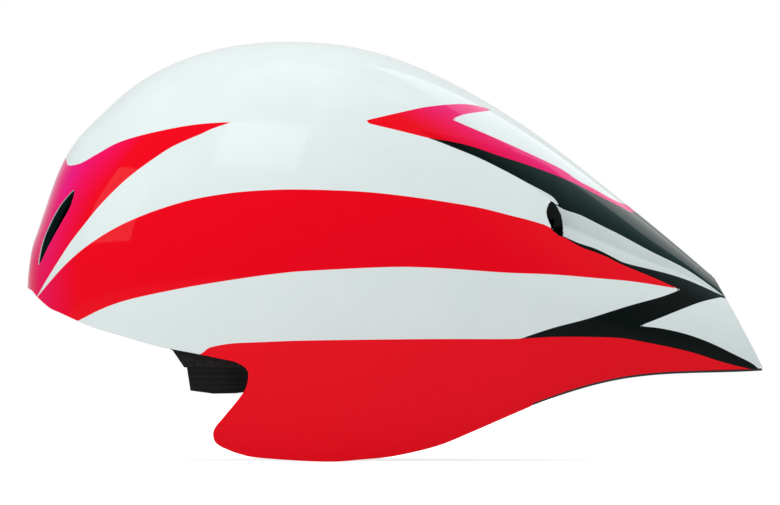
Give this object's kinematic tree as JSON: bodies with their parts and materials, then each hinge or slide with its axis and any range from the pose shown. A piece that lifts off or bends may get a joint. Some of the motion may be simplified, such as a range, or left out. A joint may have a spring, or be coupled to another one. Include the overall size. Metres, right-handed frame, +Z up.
{
  "type": "time trial helmet",
  "caption": "Long-tailed bicycle time trial helmet with ear covers, rear scoops, foam liner, dial-tightened head ring and a buckled chin strap.",
  "frame": {"origin": "middle of the helmet's length and width, on the plane through the lowest points of the ear covers", "axes": "+X to the tail, +Y to the rider's right, +Z up; the nose points along -X"},
  "size_m": [0.3999, 0.2, 0.2275],
  "materials": {
    "shell": "glossy lacquer in red, white and black",
    "foam": "moulded bead foam, black",
    "base": "satin black",
    "pad": "knitted cover over soft foam",
    "arm": "satin nylon",
    "fitting": "moulded nylon",
    "gear": "natural acetal",
    "knob": "soft-touch black",
    "steel": "zinc plated",
    "webbing": "woven polyester webbing",
    "buckle": "moulded acetal",
    "keeper": "matt rubber"
  },
  "bodies": {
    "helmet": {"outer_shell": "shell", "head_foam": "foam", "tail_foam": "foam", "tail_base": "base", "brow_pad": "pad", "side_pad_right": "pad", "side_pad_left": "pad", "crown_pad": "pad", "crown_pad_right": "pad", "crown_pad_left": "pad", "ear_pad_right": "pad", "ear_pad_left": "pad", "temple_anchor_right": "fitting", "temple_anchor_left": "fitting", "strap_anchors_front": "fitting", "strap_anchors_rear": "fitting", "strap_front_right": "webbing", "strap_front_left": "webbing", "strap_rear_right": "webbing", "strap_rear_left": "webbing", "divider_right": "fitting", "divider_left": "fitting", "lever_pin_right": "steel", "lever_pin_left": "steel", "chin_strap_right": "webbing", "chin_strap_left": "webbing", "buckle_female": "buckle", "strap_keeper": "keeper"},
    "ring": {"arm_right": "arm", "arm_left": "arm"},
    "cradle": {"cradle": "arm", "housing_cover": "fitting", "cover_screws": "steel", "click_spring": "gear", "cradle_pad_right": "pad", "cradle_pad_left": "pad"},
    "dial": {"dial_knob": "knob", "pinion": "gear", "knob_screw": "steel"},
    "rack_left": {"rack_left": "arm"},
    "rack_right": {"rack_right": "arm"},
    "lever_right": {"cam_lever_right": "fitting"},
    "lever_left": {"cam_lever_left": "fitting"},
    "buckle_male": {"buckle_male": "buckle"}
  },
  "joints": [
    {"name": "ring_tilt", "type": "hinge", "parent": "helmet", "child": "ring", "pos_m": [-0.1, 0, 0.0575], "axis": [0, 1, 0], "range_deg": [-3, 3]},
    {"name": "cradle_slide", "type": "slide", "parent": "ring", "child": "cradle", "axis": [-1, 0, 0], "range_m": [0, 0.0121]},
    {"name": "dial_turn", "type": "hinge", "parent": "cradle", "child": "dial", "pos_m": [0.048, 0, 0.06], "axis": [-1, 0, 0], "range_deg": [0, 200], "deforming": ["arm_right", "arm_left", "click_spring"]},
    {"name": "rack_left_slide", "type": "slide", "parent": "ring", "child": "rack_left", "axis": [-0.4971, 0.8677, 0], "range_m": [0, 0.02424]},
    {"name": "rack_right_slide", "type": "slide", "parent": "ring", "child": "rack_right", "axis": [-0.4971, -0.8677, 0], "range_m": [0, 0.02424]},
    {"name": "lever_right_open", "type": "hinge", "parent": "helmet", "child": "lever_right", "pos_m": [-0.046, 0.0765, 0.014], "axis": [1, 0, 0], "range_deg": [0, 100]},
    {"name": "lever_left_open", "type": "hinge", "parent": "helmet", "child": "lever_left", "pos_m": [-0.046, -0.0765, 0.014], "axis": [-1, 0, 0], "range_deg": [0, 100]},
    {"name": "buckle_release", "type": "slide", "parent": "helmet", "child": "buckle_male", "axis": [0, 1, 0], "range_m": [0, 0.018], "deforming": ["chin_strap_right"]}
  ],
  "couplings": [
    {"joint": "cradle_slide", "follows": "dial_turn", "m_per_rad": 0.0034377},
    {"joint": "rack_left_slide", "follows": "dial_turn", "m_per_rad": 0.0069151},
    {"joint": "rack_right_slide", "follows": "dial_turn", "m_per_rad": 0.0069151}
  ]
}
